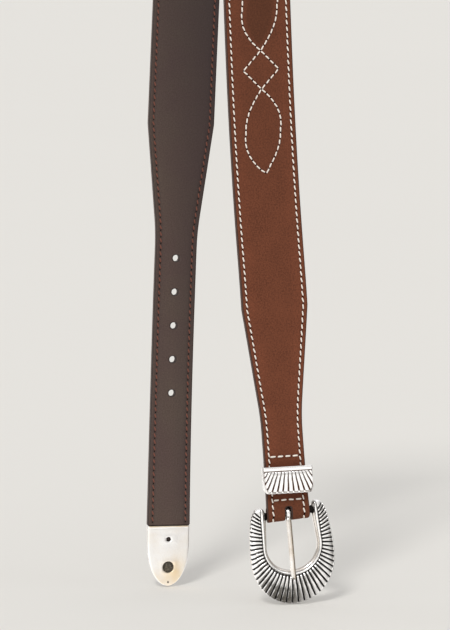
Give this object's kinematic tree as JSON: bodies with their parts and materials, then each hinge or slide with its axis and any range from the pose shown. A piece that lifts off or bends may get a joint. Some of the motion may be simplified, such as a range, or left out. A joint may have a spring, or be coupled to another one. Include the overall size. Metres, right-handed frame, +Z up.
{
  "type": "western belt",
  "caption": "Suede western belt hung folded in two, wide in the middle and narrow at its ends, with a fluted buckle, keeper and metal tip.",
  "frame": {"origin": "top of the fold's inner side, midway across the belt, where the belt bears on what holds it up", "axes": "+Z up, the buckle half hangs in front towards -Y, +X across the belt to the right seen from the front"},
  "size_m": [0.0922, 0.0953, 0.4836],
  "materials": {
    "suede": "rust-brown suede with a short matt nap",
    "lining_leather": "smooth dark grey-brown lining leather, semi-matt",
    "antique_silver": "polished silver plate, blackened in the flutes",
    "brushed_silver": "silver plate, satin on its hidden side"
  },
  "bodies": {
    "strap": {"strap_outer": "suede", "strap_lining": "lining_leather", "tip_cap": "brushed_silver"},
    "buckle": {"buckle_frame": "antique_silver"},
    "tongue": {"buckle_tongue": "antique_silver"},
    "keeper": {"keeper": "antique_silver"}
  },
  "joints": [
    {"name": "buckle_swing", "type": "hinge", "parent": "strap", "child": "buckle", "pos_m": [0.02855, -0.03922, -0.4269], "axis": [0.9928, 0, 0.1201], "range_deg": [-30, 40]},
    {"name": "tongue_swing", "type": "hinge", "parent": "buckle", "child": "tongue", "pos_m": [0.02855, -0.03922, -0.4269], "axis": [0.9928, 0, 0.1201], "range_deg": [-55, 0]},
    {"name": "keeper_slide", "type": "slide", "parent": "strap", "child": "keeper", "axis": [-0.075, 0, 0.9972], "range_m": [-0.0018, 0.0026]}
  ]
}
